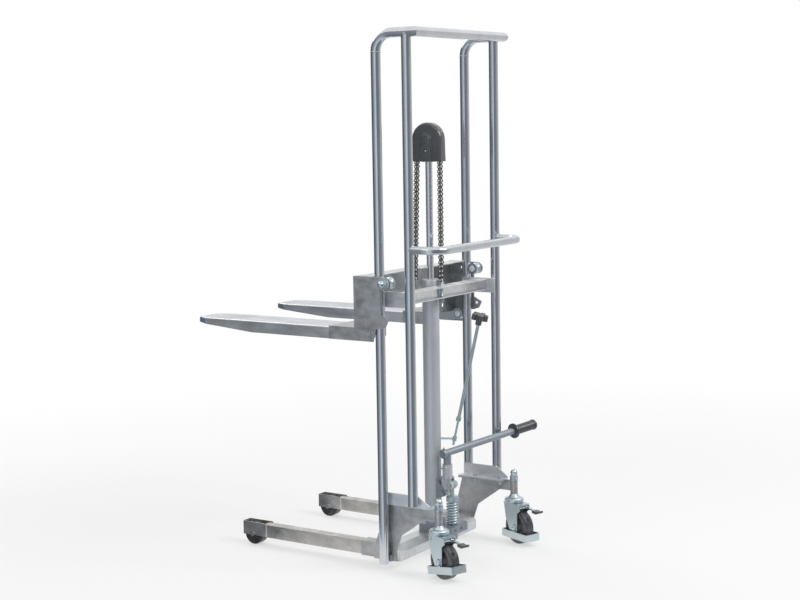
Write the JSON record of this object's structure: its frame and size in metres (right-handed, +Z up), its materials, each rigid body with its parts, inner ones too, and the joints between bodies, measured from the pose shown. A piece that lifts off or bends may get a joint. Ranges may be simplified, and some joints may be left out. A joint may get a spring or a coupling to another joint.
{
  "type": "hand pump stacker",
  "caption": "Hand-pumped stainless stacker: tubular mast, ram-and-chain lift carriage with flat forks, roller legs, braked swivel casters and a swivelling pump bar.",
  "frame": {"origin": "on the floor, midway between the two front uprights of the mast", "axes": "+X to the operator's right, +Y along the forks, +Z up"},
  "size_m": [0.7654, 1.1427, 1.8528],
  "materials": {
    "polished_tube": "bright polished stainless tube",
    "stainless_plate": "pickled stainless sheet, fine mill grain",
    "cylinder_silver": "satin silver grey paint",
    "zinc_steel": "bright zinc plate",
    "chrome_rod": "ground and chromed",
    "spring_steel": "zinc plated wire",
    "chain_steel": "oiled steel",
    "black_plastic": "grained black moulding",
    "caster_tyre": "satin black tread",
    "wheel_hub": "dark moulded centre",
    "nylon_roller": "turned dark nylon"
  },
  "bodies": {
    "frame": {"left_front_upright": "polished_tube", "right_front_upright": "polished_tube", "left_rear_upright": "polished_tube", "right_rear_upright": "polished_tube", "top_frame": "polished_tube", "push_handle": "polished_tube", "mast_bridge": "stainless_plate", "left_foot_angle": "stainless_plate", "right_foot_angle": "stainless_plate", "left_base_plate": "stainless_plate", "right_base_plate": "stainless_plate", "base_cross_member": "stainless_plate", "left_leg": "stainless_plate", "right_leg": "stainless_plate", "foot_bolts": "zinc_steel", "caster_stems": "zinc_steel", "lift_cylinder": "cylinder_silver", "pump_block": "cylinder_silver", "lever_bracket": "cylinder_silver", "release_guide": "zinc_steel", "pump_spring": "spring_steel", "rear_chain_anchor": "zinc_steel", "chain_rear": "chain_steel"},
    "rod": {"piston_rod": "chrome_rod", "rod_yoke": "zinc_steel", "chain_cover": "black_plastic", "chain_wrap": "chain_steel"},
    "chain_wheel": {"chain_wheel": "zinc_steel"},
    "carriage": {"left_side_plate": "stainless_plate", "right_side_plate": "stainless_plate", "carriage_beam": "stainless_plate", "left_fork_carrier": "stainless_plate", "right_fork_carrier": "stainless_plate", "left_fork": "stainless_plate", "right_fork": "stainless_plate", "front_chain_anchor": "zinc_steel", "chain_front": "chain_steel"},
    "pump_lever": {"pump_lever": "cylinder_silver"},
    "lever_roller": {"lever_roller": "zinc_steel"},
    "pump_bar": {"pump_bar": "cylinder_silver", "bar_grip": "black_plastic"},
    "pump_plunger": {"pump_plunger": "zinc_steel"},
    "release": {"release_rod": "zinc_steel", "release_knob": "black_plastic"},
    "upper_left_roller": {"upper_left_roller": "zinc_steel"},
    "lower_left_roller": {"lower_left_roller": "zinc_steel"},
    "left_leg_roller": {"left_leg_roller": "nylon_roller"},
    "left_caster": {"left_caster_fork": "zinc_steel", "left_toe_guard": "zinc_steel"},
    "left_caster_wheel": {"left_caster_tyre": "caster_tyre", "left_caster_hub": "wheel_hub"},
    "left_brake_pedal": {"left_brake_pedal": "black_plastic"},
    "upper_right_roller": {"upper_right_roller": "zinc_steel"},
    "lower_right_roller": {"lower_right_roller": "zinc_steel"},
    "right_leg_roller": {"right_leg_roller": "nylon_roller"},
    "right_caster": {"right_caster_fork": "zinc_steel", "right_toe_guard": "zinc_steel"},
    "right_caster_wheel": {"right_caster_tyre": "caster_tyre", "right_caster_hub": "wheel_hub"},
    "right_brake_pedal": {"right_brake_pedal": "black_plastic"}
  },
  "joints": [
    {"name": "rod_lift", "type": "slide", "parent": "frame", "child": "rod", "axis": [0, 0, 1], "range_m": [-0.3755, 0.3725], "deforming": ["chain_rear"]},
    {"name": "carriage_lift", "type": "slide", "parent": "rod", "child": "carriage", "axis": [0, 0, 1], "range_m": [-0.3755, 0.3725], "deforming": ["chain_front"]},
    {"name": "chain_wheel_turn", "type": "hinge", "parent": "rod", "child": "chain_wheel", "pos_m": [0, -0.023, 1.478], "axis": [1, 0, 0], "continuous": true},
    {"name": "pump_lever_swing", "type": "hinge", "parent": "frame", "child": "pump_lever", "pos_m": [0, -0.07, 0.222], "axis": [1, 0, 0], "range_deg": [0, 25], "stiffness_Nm_per_rad": 20, "springref_deg": -34.38},
    {"name": "lever_roller_turn", "type": "hinge", "parent": "pump_lever", "child": "lever_roller", "pos_m": [0, -0.106, 0.2553], "axis": [1, 0, 0], "continuous": true},
    {"name": "pump_bar_swivel", "type": "hinge", "parent": "pump_lever", "child": "pump_bar", "pos_m": [0, -0.084, 0.34], "axis": [0, 0, 1], "range_deg": [-148, 2]},
    {"name": "plunger_stroke", "type": "slide", "parent": "frame", "child": "pump_plunger", "axis": [0, 0, 1], "range_m": [-0.0185, 0], "deforming": ["pump_spring"]},
    {"name": "release_turn", "type": "hinge", "parent": "frame", "child": "release", "pos_m": [0.03, -0.0912, 0.392], "axis": [0, -0.2392, 0.971], "range_deg": [0, 180]},
    {"name": "upper_left_roller_turn", "type": "hinge", "parent": "carriage", "child": "upper_left_roller", "pos_m": [-0.287, -0.033, 1], "axis": [1, 0, 0], "continuous": true},
    {"name": "lower_left_roller_turn", "type": "hinge", "parent": "carriage", "child": "lower_left_roller", "pos_m": [-0.287, 0.033, 0.83], "axis": [1, 0, 0], "continuous": true},
    {"name": "left_leg_roller_turn", "type": "hinge", "parent": "frame", "child": "left_leg_roller", "pos_m": [-0.235, 0.604, 0.04], "axis": [1, 0, 0], "continuous": true},
    {"name": "left_caster_swivel", "type": "hinge", "parent": "frame", "child": "left_caster", "pos_m": [-0.26, -0.209, 0.15], "axis": [0, 0, 1], "continuous": true},
    {"name": "left_caster_wheel_turn", "type": "hinge", "parent": "left_caster", "child": "left_caster_wheel", "pos_m": [-0.27075, -0.23701, 0.0625], "axis": [0.9336, -0.3584, 0], "continuous": true},
    {"name": "left_brake_press", "type": "hinge", "parent": "left_caster", "child": "left_brake_pedal", "pos_m": [-0.27792, -0.25568, 0.136], "axis": [0.9336, -0.3584, 0], "range_deg": [0, 12]},
    {"name": "upper_right_roller_turn", "type": "hinge", "parent": "carriage", "child": "upper_right_roller", "pos_m": [0.287, -0.033, 1], "axis": [1, 0, 0], "continuous": true},
    {"name": "lower_right_roller_turn", "type": "hinge", "parent": "carriage", "child": "lower_right_roller", "pos_m": [0.287, 0.033, 0.83], "axis": [1, 0, 0], "continuous": true},
    {"name": "right_leg_roller_turn", "type": "hinge", "parent": "frame", "child": "right_leg_roller", "pos_m": [0.235, 0.604, 0.04], "axis": [1, 0, 0], "continuous": true},
    {"name": "right_caster_swivel", "type": "hinge", "parent": "frame", "child": "right_caster", "pos_m": [0.26, -0.209, 0.15], "axis": [0, 0, 1], "continuous": true},
    {"name": "right_caster_wheel_turn", "type": "hinge", "parent": "right_caster", "child": "right_caster_wheel", "pos_m": [0.24925, -0.23701, 0.0625], "axis": [0.9336, -0.3584, 0], "continuous": true},
    {"name": "right_brake_press", "type": "hinge", "parent": "right_caster", "child": "right_brake_pedal", "pos_m": [0.24208, -0.25568, 0.136], "axis": [0.9336, -0.3584, 0], "range_deg": [0, 12]}
  ],
  "couplings": [
    {"joint": "carriage_lift", "follows": "rod_lift", "ratio": 1},
    {"joint": "chain_wheel_turn", "follows": "rod_lift", "rad_per_m": 21.877},
    {"joint": "plunger_stroke", "follows": "pump_lever_swing", "m_per_rad": -0.042},
    {"joint": "upper_left_roller_turn", "follows": "rod_lift", "rad_per_m": -125},
    {"joint": "lower_left_roller_turn", "follows": "rod_lift", "rad_per_m": 125},
    {"joint": "upper_right_roller_turn", "follows": "rod_lift", "rad_per_m": -125},
    {"joint": "lower_right_roller_turn", "follows": "rod_lift", "rad_per_m": 125}
  ]
}
